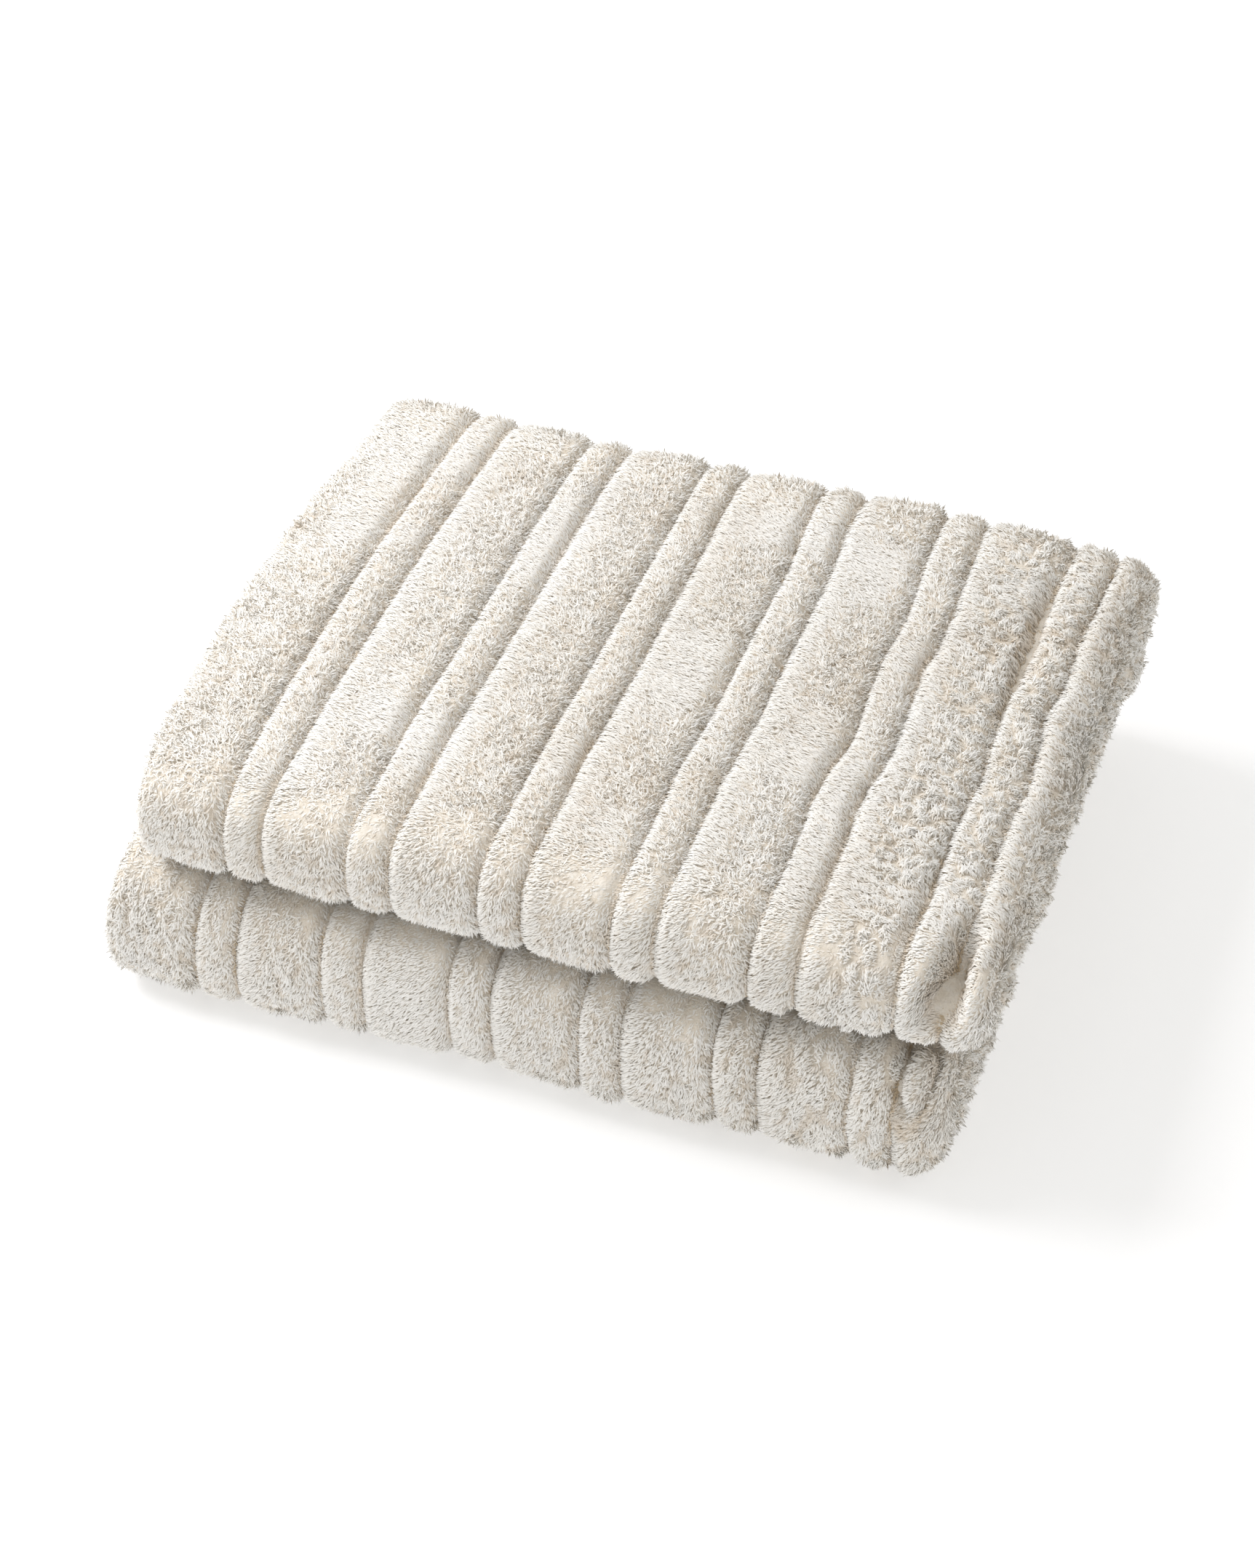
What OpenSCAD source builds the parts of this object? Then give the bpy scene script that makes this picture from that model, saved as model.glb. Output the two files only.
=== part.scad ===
// Folded throw blanket: one ribbed plush sheet, folded into a compact stack.
//
// The sheet is folded twice across its length into a strip four plies thick, with
// the closed fold on the right. Both ends of the strip are turned in to the back,
// and the strip is closed like a book, so four strip layers lie on each other:
//   layer 1  bottom panel           layer 2  lower inner panel
//   layer 3  upper inner panel      layer 4  top panel
// Layers 1 and 2 meet in the lower front fold, 3 and 4 in the upper front fold, and
// 1 and 4 in the back fold, which bends in two places like the spine of a book.
//
// Frame: +X right, -Y front, +Z up; the origin is the middle of the bottom.
// The "section" is the strip cut across its ribs: x runs along the strip's width
// from its left edge, and t runs through the strip, positive towards the pile side
// that ends up outside the stack.

/* [Cloth] */
// Thickness of one ply, pile included and pressed by the stack
ply_t = 7.6; // [4:0.05:9]
// Clearance between neighbouring plies
ply_gap = 0.4; // [0.3:0.1:1]
// Width of a wide rib
wide_rib = 42; // [24:1:60]
// Width of a narrow rib
narrow_rib = 20; // [10:1:30]
// Depth of the grooves between ribs
groove_depth = 4.6; // [1:0.1:5]

/* [Folded stack] */
// Width of the folded strip
strip_w = 386; // [300:1:480]
// Depth of the stack, from the lower front fold to the back fold
stack_d = 334; // [260:1:420]
// How far the upper half lies to the right of the lower half
half_shift = 13; // [0:1:20]
// How far the lower front fold stands in front of the upper one
front_step = 6; // [0:1:12]
// Inside radius of the two bends of the back fold
bend_inner_r = 7; // [3:1:12]
// Space between the turned-in ends and the back fold
end_gap = 6; // [2:1:10]

/* [Hems and label] */
// How far the hems lie inside the left fold
hem_inset = 7; // [5:1:20]
// Length of one stitch
stitch_len = 6; // [3:1:8]
// Distance from one stitch to the next
stitch_pitch = 10; // [9:1:16]
// Diameter of the sewing thread
thread_d = 0.8; // [0.5:0.1:1.2]
// Width of the blank care label
label_w = 26; // [15:1:40]
// Thickness of the blank care label
label_t = 0.5; // [0.3:0.1:1]
// Place of the care label along the left side
label_y = 62; // [0:1:80]

/* [Hidden] */
pitch = ply_t + ply_gap;              // from one ply to the next
edge = ply_gap / 2;                   // half a clearance, kept round each strip layer
half_t = 2 * pitch;                   // half the room one strip layer takes
layer_h = 2 * half_t;                 // from one strip layer to the next
pair_w = wide_rib + narrow_rib;       // from one wide rib to the next
left_c = pitch - edge;                // x of the left fold's centre
right_c = strip_w - half_t + edge;    // x of the right fold's centre
arc_steps = 8;                        // sides along a half turn of the section
hem_r = ply_t / 2;                    // the hem is as thick as the ply it closes
bend_r = half_t + bend_inner_r;       // middle of the strip in a back bend
fold_r = layer_h - edge;              // outside of a front fold
back_c = stack_d / 2 - bend_r - half_t + edge;       // y of the back bends' centres
lower_front_c = -stack_d / 2 + fold_r;               // y of the lower front fold's centre
upper_front_c = lower_front_c + front_step;          // y of the upper front fold's centre
inner_end = back_c + bend_inner_r - end_gap - hem_r; // y where the inner panels end
lower_x = -(strip_w + half_shift) / 2;               // left edge of the lower half
upper_x = lower_x + half_shift;                      // left edge of the upper half
back_x = lower_x + half_shift / 2;                   // left edge of the back fold
label_h = layer_h - 1.5 * pitch;                     // from layer 2's outer hem down to layer 1's fold
cloth = "#ece4d8";
seam = "#ddd2c2";

// Middle height of strip layer n, counted from 1 at the bottom.
function layer_z(n) = half_t - edge + (n - 1) * layer_h;

// Share of the full rib height at the fraction f across a rib: steep at the
// grooves and flat over the middle half.
function crown(f) = min(1, 1.2 * pow(max(0, sin(180 * f)), 0.55));

// Points taken across one rib, as fractions of its width.
RIB_CUTS = [0, 0.04, 0.12, 0.26, 0.5, 0.74, 0.88, 0.96];

// Start of rib number n along the section; even ribs are wide, odd ones narrow.
function rib_start(n) = floor(n / 2) * pair_w + (n % 2) * wide_rib;
function rib_width(n) = n % 2 == 0 ? wide_rib : narrow_rib;

// Outline of the ribbed top of the outer ply, from left to right. The first rib
// keeps its full height over the left fold.
rib_count = 2 * ceil(right_c / pair_w) + 2;
ribbed_top = [
    for (n = [0 : rib_count], f = RIB_CUTS)
        let (x = rib_start(n) + f * rib_width(n))
            if (x > left_c && x < right_c - 0.5)
                [x, half_t - edge - groove_depth * (1 - crown(n == 0 && f < 0.5 ? 0.5 : f))]
];

// Points on an arc about c, from angle a to angle b.
function arc(c, r, a, b, steps = arc_steps) =
    [for (i = [0 : steps]) let (g = a + (b - a) * i / steps) c + r * [cos(g), sin(g)]];

// The right fold's outside: one wide rib that rises from the last groove and
// keeps its height round to the ply below.
right_fold = [
    for (i = [0 : 2 * arc_steps])
        let (g = -90 + 180 * i / (2 * arc_steps),
             f = min(1, (90 - g) / 180) * PI * half_t / wide_rib,
             r = half_t - edge - groove_depth * (1 - crown(min(f, 0.5))))
            [right_c, 0] + r * [cos(g), sin(g)]
];

function reversed(list) = [for (i = [len(list) - 1 : -1 : 0]) list[i]];

// The strip's section: one band of cloth that runs from the hem of the lowest ply,
// round the right fold, along the ribbed ply, round the left fold, back inside,
// round the inner right fold and out to the second hem.
section = concat(
    [[hem_inset, -half_t + edge]],
    right_fold,
    reversed(ribbed_top),
    arc([left_c, pitch], pitch - edge, 90, 270),
    arc([right_c, 0], edge, 90, -90, 2),
    [[hem_inset, -edge], [hem_inset, -pitch + edge]],
    arc([right_c, 0], pitch - edge, -90, 90),
    arc([left_c, pitch], edge, 270, 90, 2),
    arc([right_c, 0], pitch + edge, 90, -90),
    [[hem_inset, -pitch - edge]]
);

// The two hems of a section: half-round beads on the ends of the inner plies.
function hem_outline(level) = arc([hem_inset, level], hem_r, 90, 270);
HEM_LEVELS = [-pitch / 2, -1.5 * pitch];

module strip_outline() polygon(section);
module hem_outlines() for (level = HEM_LEVELS) polygon(hem_outline(level));

// A straight stretch of a strip layer: the child outline runs from y0 to y1 with
// its middle at height z and its outside towards up = 1 or down = -1.
module run(x, y0, y1, z, up) {
    translate([x, up > 0 ? y1 : y0, z])
        rotate([up > 0 ? 90 : -90, 0, 0])
            linear_extrude(y1 - y0) children();
}

// A turn of a strip layer about an axis along X at (y, z): the child outline has
// its middle at radius r and sweeps the given angle from the start angle, where
// 0 points back (+Y) and 90 points up.
module turn(x, y, z, r, start, sweep) {
    translate([x, y, z])
        rotate([start, 0, 0])
            rotate([90, 0, 90])
                rotate_extrude(angle = sweep, $fn = 96)
                    translate([r, 0]) rotate(90) mirror([0, 1]) children();
}

// Straight stretch along Z, outside towards the back, as in the back panel.
module rise(x, y, z0, z1) {
    translate([x, y, z0])
        linear_extrude(z1 - z0) children();
}

// A row of stitches along Y on the hem of a straight stretch.
module stitches(x, y0, y1, z) {
    count = floor((y1 - y0 - stitch_len) / stitch_pitch);
    for (i = [0 : count])
        translate([x, y0 + i * stitch_pitch, z])
            rotate([-90, 0, 0]) cylinder(h = stitch_len, d = thread_d, $fn = 24);
}

// Stitches on both hems of a layer.
module layer_stitches(x, y0, y1, z, up) {
    for (level = HEM_LEVELS)
        stitches(x + hem_inset - hem_r - thread_d / 2, y0, y1, z + up * level);
}

// Four hem beads that close the plies at an inner panel's end.
module end_hem(x, y, z, up) {
    for (level = [-1.5, -0.5, 0.5, 1.5])
        translate([x + left_c + 2, y, z + up * level * pitch])
            rotate([90, 0, 90])
                linear_extrude(right_c - left_c - 4)
                    polygon(arc([0, 0], hem_r, -90, 90));
}

module bottom_panel() color(cloth)
    run(lower_x, lower_front_c, back_c, layer_z(1), -1) strip_outline();

module lower_inner_panel() color(cloth)
    run(lower_x, lower_front_c, inner_end, layer_z(2), 1) strip_outline();

module upper_inner_panel() color(cloth)
    run(upper_x, upper_front_c, inner_end, layer_z(3), -1) strip_outline();

module top_panel() color(cloth)
    run(upper_x, upper_front_c, back_c, layer_z(4), 1) strip_outline();

module lower_front_fold() color(cloth)
    turn(lower_x, lower_front_c, layer_z(1) + half_t, half_t, 90, 180) strip_outline();

module upper_front_fold() color(cloth)
    turn(upper_x, upper_front_c, layer_z(3) + half_t, half_t, 90, 180) strip_outline();

module lower_back_bend() color(cloth)
    turn(back_x, back_c, layer_z(1) + bend_r, bend_r, -90, 90) strip_outline();

module upper_back_bend() color(cloth)
    turn(back_x, back_c, layer_z(4) - bend_r, bend_r, 0, 90) strip_outline();

module back_panel() color(cloth)
    rise(back_x, back_c + bend_r, layer_z(1) + bend_r, layer_z(4) - bend_r) strip_outline();

module lower_side_hem() color(seam) {
    run(lower_x, lower_front_c, back_c, layer_z(1), -1) hem_outlines();
    run(lower_x, lower_front_c, inner_end, layer_z(2), 1) hem_outlines();
    turn(lower_x, lower_front_c, layer_z(1) + half_t, half_t, 90, 180) hem_outlines();
}

module upper_side_hem() color(seam) {
    run(upper_x, upper_front_c, inner_end, layer_z(3), -1) hem_outlines();
    run(upper_x, upper_front_c, back_c, layer_z(4), 1) hem_outlines();
    turn(upper_x, upper_front_c, layer_z(3) + half_t, half_t, 90, 180) hem_outlines();
}

module back_side_hem() color(seam)
    rise(back_x, back_c + bend_r, layer_z(1) + bend_r, layer_z(4) - bend_r) hem_outlines();

module lower_end_hem() color(seam) end_hem(lower_x, inner_end, layer_z(2), 1);

module upper_end_hem() color(seam) end_hem(upper_x, inner_end, layer_z(3), -1);

module lower_hem_thread() color(seam) {
    layer_stitches(lower_x, lower_front_c, back_c, layer_z(1), -1);
    layer_stitches(lower_x, lower_front_c, inner_end, layer_z(2), 1);
}

module upper_hem_thread() color(seam) {
    layer_stitches(upper_x, upper_front_c, inner_end, layer_z(3), -1);
    layer_stitches(upper_x, upper_front_c, back_c, layer_z(4), 1);
}

// The label hangs from the lower inner panel's outer hem, held under its thread.
module care_label() color("white")
    translate([lower_x + hem_inset - hem_r - thread_d - label_t, label_y, layer_z(1)])
        cube([label_t, label_w, label_h]);

bottom_panel();
lower_front_fold();
lower_inner_panel();
lower_back_bend();
back_panel();
upper_back_bend();
upper_inner_panel();
upper_front_fold();
top_panel();
lower_side_hem();
back_side_hem();
upper_side_hem();
lower_end_hem();
upper_end_hem();
lower_hem_thread();
upper_hem_thread();
care_label();
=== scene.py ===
"""A ribbed plush throw, folded into a stack.

One sheet of cloth is folded into a strip four plies thick, and the strip into four
layers. Every surface here is that sheet: a closed outline across the ribs (the
section) is carried along the path of the strip. Pile stands on it as short tufts.
Lengths are in millimetres until a mesh is made.
"""

import bpy
import numpy as np
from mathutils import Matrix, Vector


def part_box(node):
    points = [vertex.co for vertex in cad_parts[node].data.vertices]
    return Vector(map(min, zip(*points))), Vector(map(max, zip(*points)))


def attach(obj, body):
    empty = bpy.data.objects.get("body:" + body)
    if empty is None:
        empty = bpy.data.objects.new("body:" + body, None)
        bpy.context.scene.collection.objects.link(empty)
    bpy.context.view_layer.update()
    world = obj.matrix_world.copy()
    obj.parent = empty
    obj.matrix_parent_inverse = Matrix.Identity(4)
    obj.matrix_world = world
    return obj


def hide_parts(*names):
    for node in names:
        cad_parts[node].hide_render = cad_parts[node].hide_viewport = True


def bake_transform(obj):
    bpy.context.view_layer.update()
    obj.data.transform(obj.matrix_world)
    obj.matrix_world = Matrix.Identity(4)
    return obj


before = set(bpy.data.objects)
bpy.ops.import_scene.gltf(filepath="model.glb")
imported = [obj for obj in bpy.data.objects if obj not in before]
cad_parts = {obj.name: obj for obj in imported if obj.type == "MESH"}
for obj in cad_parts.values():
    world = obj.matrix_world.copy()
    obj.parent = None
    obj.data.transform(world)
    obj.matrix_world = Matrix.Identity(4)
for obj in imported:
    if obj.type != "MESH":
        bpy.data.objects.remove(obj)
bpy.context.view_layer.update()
MM = 0.001


def node_box(node):
    """Lowest and highest corner of a CAD node, in millimetres."""
    low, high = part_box(node)
    return np.array(low) / MM, np.array(high) / MM


# ---------------------------------------------------------------- sizes
bottom_low, bottom_high = node_box("bottom_panel")
inner_low, inner_high = node_box("lower_inner_panel")
top_low, top_high = node_box("top_panel")
back_low, _ = node_box("back_panel")
label_low, label_high = node_box("care_label")

STRIP_W = top_high[0] - top_low[0]
LAYER = inner_low[2] - bottom_low[2]  # from one strip layer to the next
HALF = LAYER / 2
PLY = LAYER / 4
EDGE = LAYER / 2 - (bottom_high[2] - bottom_low[2]) / 2  # clearance round a layer
LOWER_X, UPPER_X = bottom_low[0], top_low[0]
LOWER_FRONT, UPPER_FRONT = bottom_low[1], top_low[1]
BACK = bottom_high[1]  # where the back bends begin
INNER_END = inner_high[1]  # where the turned-in ends stop
BEND = back_low[2] - bottom_low[2] - HALF + EDGE  # radius of a back bend's middle
STACK_H = top_high[2]
LAYER_MID = [HALF - EDGE + n * LAYER for n in range(4)]

WIDE, NARROW = 42.0, 20.0  # the two rib widths
PAIR = WIDE + NARROW
GROOVE = 5.0  # depth of a groove in the cloth under the pile
OPEN_GROOVE = 3.4  # what the last groove on the top is deeper where it stands open
OPEN_AT = 345  # where that groove lies across the ribbed face
PILE = 2.2  # how far the cloth lies under the pile's tips
LEFT_C = PLY - EDGE
RIGHT_C = STRIP_W - HALF + EDGE
LAST_RIB = 6 * PAIR  # where the rib begins that wraps the right fold
HEM_INSET = 7.0  # from the left edge to the middle of the hems' beads
HEM_R = (PLY - 2 * EDGE) / 2
HEM_DEEP, HEM_HIGH = 0.9 * HEM_R, 0.92 * HEM_R  # half a bead across and through the strip
HEM_LEVELS = (-0.5 * PLY, -1.5 * PLY)
HEM_STEP = 4  # about how far apart a bead's rings stand
HEM_RING = 13  # points round a bead, its first one twice
THREAD_R = 0.5
STITCH, STITCH_HALF = 8.0, 2.7  # from stitch to stitch, and half a stitch
FACE = HALF - EDGE - PILE  # the ribbed face, under its pile
DENSE = 2.05  # tufts to a square millimetre where the pile is full
OWN_SHADE = 0.24  # how much a tuft's own face counts in its shading


# ---------------------------------------------------------------- number fields
NOISE_CELLS = 97  # cells of the noise before it repeats
LOCK_CELLS = 211  # and cells of the locks


def soft_noise(a, b, size, seed):
    """Smooth noise from -1 to 1: random values on a square lattice with the given
    cell size, joined by a smoothstep in both directions."""
    table = np.random.default_rng(seed).uniform(-1, 1, (NOISE_CELLS, NOISE_CELLS))
    u, v = a / size, b / size
    i, j = np.floor(u).astype(int), np.floor(v).astype(int)
    fu, fv = u - i, v - j
    fu, fv = fu * fu * (3 - 2 * fu), fv * fv * (3 - 2 * fv)
    i0, i1 = i % NOISE_CELLS, (i + 1) % NOISE_CELLS
    j0, j1 = j % NOISE_CELLS, (j + 1) % NOISE_CELLS
    low = table[i0, j0] * (1 - fu) + table[i1, j0] * fu
    high = table[i0, j1] * (1 - fu) + table[i1, j1] * fu
    return low * (1 - fv) + high * fv


def ramp(x, a, b):
    """Smoothstep from 0 at a to 1 at b."""
    t = np.clip((x - a) / (b - a), 0, 1)
    return t * t * (3 - 2 * t)


def hump(x, middle, reach):
    """Bell curve: 1 at the middle, near 0 two reaches away."""
    return np.exp(-(((x - middle) / reach) ** 2))


def unit(v):
    """Vectors scaled to length 1."""
    return v / np.maximum(np.linalg.norm(v, axis=-1, keepdims=True), 1e-9)


# ---------------------------------------------------------------- ribs
RIB_SPREAD, RIB_SHIFT = 1.031, 5  # from places across the sheet to the even pattern
WIDE_REACH, NARROW_REACH = 1.65, 1.28  # how soon a rib has its full height
CROWN_ROUND = 0.62  # exponent of a rib's round shoulders


def rib_place(a, v):
    """Where a place lies in the even rib pattern, at a across the ribs and v along
    them: the ribs wander, and more so towards the right."""
    wander = 1.0 + 1.6 * ramp(a, 150, 340)
    fine = 0.9 * ramp(a, 180, 320) * soft_noise(a * 0.5 + 70, v + 90, 13, 9)
    slow = wander * soft_noise(a * 0.3 + 400, v + 300, 48, 6)
    return a * RIB_SPREAD - RIB_SHIFT + slow + fine


def rib_at(place):
    """For a place in the rib pattern: the fraction across its rib, the rib's width
    and the crown, 0 in a groove and 1 over the middle. The first rib keeps its
    height to the left, the last one to the right, round the fold."""
    r = np.mod(place, PAIR)
    wide = r < WIDE
    width = np.where(wide, WIDE, NARROW)
    f = np.where(wide, r / WIDE, (r - WIDE) / NARROW)
    f = np.where(place < WIDE / 2, 0.5, f)
    f = np.where(place > LAST_RIB + WIDE / 2, 0.5, f)
    reach = np.where(wide, WIDE_REACH, NARROW_REACH)
    crown = np.minimum(1, reach * np.abs(np.sin(np.pi * f)) ** CROWN_ROUND)
    return f, width, crown


# ---------------------------------------------------------------- the section
HIDDEN_X = 60  # from here to the right fold the inner plies are out of sight


def arc(cx, ct, r, a, b, n):
    """n points on an arc about (cx, ct) from angle a to b in degrees."""
    g = np.radians(np.linspace(a, b, n))
    return np.stack([cx + r * np.cos(g), ct + r * np.sin(g)], 1)


def line(x0, t0, x1, t1, n):
    """n points on a straight stretch, both ends included."""
    return np.stack([np.linspace(x0, x1, n), np.linspace(t0, t1, n)], 1)


def section():
    """The closed outline of the folded strip without its grooves; for each point
    whether it carries pile, whether it is ribbed, and how far it lies across the
    ribbed face."""
    parts = []

    def add(points, pile, ribbed=0.0, across=None):
        across = points[:, 0] if across is None else across
        flags = np.ones((2, len(points))) * np.array([[pile], [ribbed]])
        parts.append((points, flags, across))

    # lowest ply, from its hem to the right fold
    add(line(HEM_INSET, -FACE, 40, -FACE, 10), 1)
    add(line(HIDDEN_X, -FACE, RIGHT_C - 30, -FACE, 8), 0)
    add(line(RIGHT_C - 20, -FACE, RIGHT_C - 4, -FACE, 5), 1)
    g = np.linspace(-90, 90, 27)
    add(arc(RIGHT_C, 0, FACE, -90, 90, 27), 1, 1, RIGHT_C + (90 - g) / 180 * np.pi * HALF)
    add(line(RIGHT_C - 1.2, FACE, LEFT_C, FACE, 168), 1, 1)
    # the left fold and the inner plies
    add(arc(LEFT_C, PLY, FACE - PLY, 90, 270, 9)[1:], 1, 0, np.linspace(4, -6, 8))
    add(line(LEFT_C + 4, 2 * PLY - FACE - 1, LEFT_C + 16, 1.2, 4), 1)
    add(line(HIDDEN_X, EDGE, RIGHT_C, EDGE, 8), 0)
    add(line(RIGHT_C, -EDGE, HIDDEN_X, -EDGE, 8), 0)
    add(line(LEFT_C + 16, -1.0, HEM_INSET + 2, -1.0, 4), 1)
    # the two hems: plies 3 and 4 end here, and beads close them
    add(line(HEM_INSET, -1.6, HEM_INSET, -PLY + 1.6, 3), 0)
    add(line(HIDDEN_X, -PLY + EDGE, RIGHT_C, -PLY + EDGE, 8), 0)
    add(arc(RIGHT_C, 0, PLY - EDGE, -80, 80, 7), 0)
    add(line(RIGHT_C, PLY - EDGE, LEFT_C + 2, PLY - EDGE, 9), 0)
    add(line(LEFT_C + 2, PLY + EDGE, RIGHT_C, PLY + EDGE, 9), 0)
    add(arc(RIGHT_C, 0, PLY + EDGE, 80, -80, 7), 0)
    add(line(RIGHT_C, -PLY - EDGE, HEM_INSET + 2, -PLY - EDGE, 9), 0)
    add(line(HEM_INSET, -PLY - 1.4, HEM_INSET, -2 * PLY + PILE + 1.4, 3), 0)
    points = np.concatenate([p[0] for p in parts])
    flags = np.concatenate([p[1] for p in parts], axis=1)
    return points, flags[0], flags[1], np.concatenate([p[2] for p in parts])


SECTION, PILE_ON, RIBBED, ACROSS = section()


# ---------------------------------------------------------------- the strip's path
SQUARE_FRONT = 2.6  # exponent of the front folds' rounded-square shape
SQUARE_BACK = 2.3  # and of the back bends'
STEP = 4.2  # from row to row on a flat stretch
FOLD_ROWS, BEND_ROWS, BACK_ROWS = 27, 13, 7
JOIN = 12.0  # how far before a back bend its own piece begins
lower_mid = LAYER_MID[0] + HALF
upper_mid = LAYER_MID[2] + HALF
low_bend_z = LAYER_MID[0] + BEND
high_bend_z = LAYER_MID[3] - BEND
seam_z = (low_bend_z + high_bend_z) / 2


def straight(y0, y1, mid, up):
    """Rows of a flat stretch from y0 to y1: the foot of each row, its way outwards
    and the distance from the foot to the strip's middle."""
    n = max(2, int(round(abs(y1 - y0) / STEP)) + 1)
    foot = np.stack([np.linspace(y0, y1, n), np.full(n, mid - up * HALF)], 1)
    return foot, np.tile([0.0, up], (n, 1)), np.full(n, HALF)


def turned(yc, zc, a0, a1, base, power, n):
    """Rows of a turn about (yc, zc), from angle a0 to a1 in degrees from +Y: the way
    outwards has cosine and sine raised to 2 / power, a superellipse."""
    angle = np.radians(np.linspace(a0, a1, n))
    circle = np.stack([np.cos(angle), np.sin(angle)], 1)
    way = np.sign(circle) * np.abs(circle) ** (2 / power)
    return np.tile([yc, zc], (n, 1)), way, np.full(n, base)


def risen(z0, z1):
    """Rows up the back panel from z0 to z1."""
    foot = np.stack([np.full(BACK_ROWS, BACK), np.linspace(z0, z1, BACK_ROWS)], 1)
    return foot, np.tile([1.0, 0.0], (BACK_ROWS, 1)), np.full(BACK_ROWS, BEND)


def joined(*stretches):
    """Stretches of rows put end to end, with each shared row once."""
    return [
        np.concatenate([s[k] if n == 0 else s[k][1:] for n, s in enumerate(stretches)])
        for k in range(3)
    ]


PATHS = {
    "lower": joined(
        straight(INNER_END, LOWER_FRONT, LAYER_MID[1], 1),
        turned(LOWER_FRONT, lower_mid, 90, 270, HALF, SQUARE_FRONT, FOLD_ROWS),
        straight(LOWER_FRONT, BACK - JOIN, LAYER_MID[0], -1),
    ),
    "back_lower": joined(
        straight(BACK - JOIN, BACK, LAYER_MID[0], -1),
        turned(BACK, low_bend_z, -90, 0, BEND, SQUARE_BACK, BEND_ROWS),
        risen(low_bend_z, seam_z),
    ),
    "back_upper": joined(
        risen(seam_z, high_bend_z),
        turned(BACK, high_bend_z, 0, 90, BEND, SQUARE_BACK, BEND_ROWS),
        straight(BACK, BACK - JOIN, LAYER_MID[3], 1),
    ),
    "upper": joined(
        straight(BACK - JOIN, UPPER_FRONT, LAYER_MID[3], 1),
        turned(UPPER_FRONT, upper_mid, 90, 270, HALF, SQUARE_FRONT, FOLD_ROWS),
        straight(UPPER_FRONT, INNER_END, LAYER_MID[2], -1),
    ),
}


def run_lengths(part):
    """Length along the strip's middle at each row of a part."""
    foot, way, base = PATHS[part]
    middle = foot + base[:, None] * way
    return np.concatenate([[0], np.cumsum(np.linalg.norm(np.diff(middle, axis=0), axis=1))])


RUN = {part: run_lengths(part) for part in PATHS}
START = dict(zip(PATHS, np.concatenate([[0], np.cumsum([RUN[p][-1] for p in PATHS])])))


def left_edge(part, middle):
    """Where the strip's left edge lies in X for each row; it slides across from the
    lower half to the upper half over the back fold."""
    if part == "lower":
        return np.full(len(middle), LOWER_X)
    if part == "upper":
        return np.full(len(middle), UPPER_X)
    share = ramp(middle[:, 1], LAYER_MID[0] + 1, LAYER_MID[3] - 1)
    return LOWER_X + (UPPER_X - LOWER_X) * share


# ---------------------------------------------------------------- folds and hollows
POCKET_X, POCKET_REACH, POCKET_DEEP = 366, 5.5, 0.95  # the upper fold's hollow
RING_X, RING_REACH, RING_DEEP = 371, 6.5, 0.22  # the lower fold's ring
FRONT_TURN = {
    "upper": (UPPER_FRONT, upper_mid),
    "lower": (LOWER_FRONT, lower_mid),
}


def turn_angle(part, y, z):
    """Angle in degrees round a front fold: 0 where it leaves the top, 90 at its
    foremost line, 180 underneath. The lower fold is counted the same way."""
    yc, zc = FRONT_TURN[part]
    return np.degrees(np.arctan2(yc - y, z - zc))


def pocket(part, x, y, z):
    """How far the strip is pressed flat at the right end of a front fold, where the
    turn can't lie over the side fold, for a place x across it: 0 to 1. The upper
    fold has a long hollow there, the lower one a shallow ring."""
    if part not in FRONT_TURN:
        return 0 * x
    angle = turn_angle(part, y, z)
    if part == "upper":
        # it leans a little to the left and widens on its way down
        aside = np.abs(x - POCKET_X + 0.05 * (angle - 45))
        across = aside / (POCKET_REACH + 2.5 * ramp(angle, -10, 70))
        return POCKET_DEEP * np.exp(-(across**3) - ((angle - 34) / 56) ** 4)
    ring = np.hypot((x - RING_X) / RING_REACH, (angle - 38) / 30)
    return RING_DEEP * hump(ring, 1.0, 0.30)


def parted(a, y, z):
    """Where the last groove on the top stands open, and its two sides are only
    bridged by strands: 0 to 1."""
    on_top = ramp(z, STACK_H - 24, STACK_H - 16)
    along = ramp(y, -5, 45) * (1 - ramp(y, 95, 128)) + 0.35 * (1 - ramp(y, -95, -60))
    return hump(a, OPEN_AT, 4.6) * along * on_top


RIGHT_DROP, LEFT_DROP = 4.0, 2.5  # how far the top falls away towards its edges
SLOW_HOLLOWS = 1.6
FRONT_RISE, MORE_RIGHT = 11.0, 4.0  # how much taller the lower fold stands in front
BULGE = 1.8
LEFT_BELLY, LEFT_TUCK = 6, 7
RIGHT_BELLY, RIGHT_LUMPS = 6, 2.2
PUSHED_ASIDE = 1.9


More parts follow.
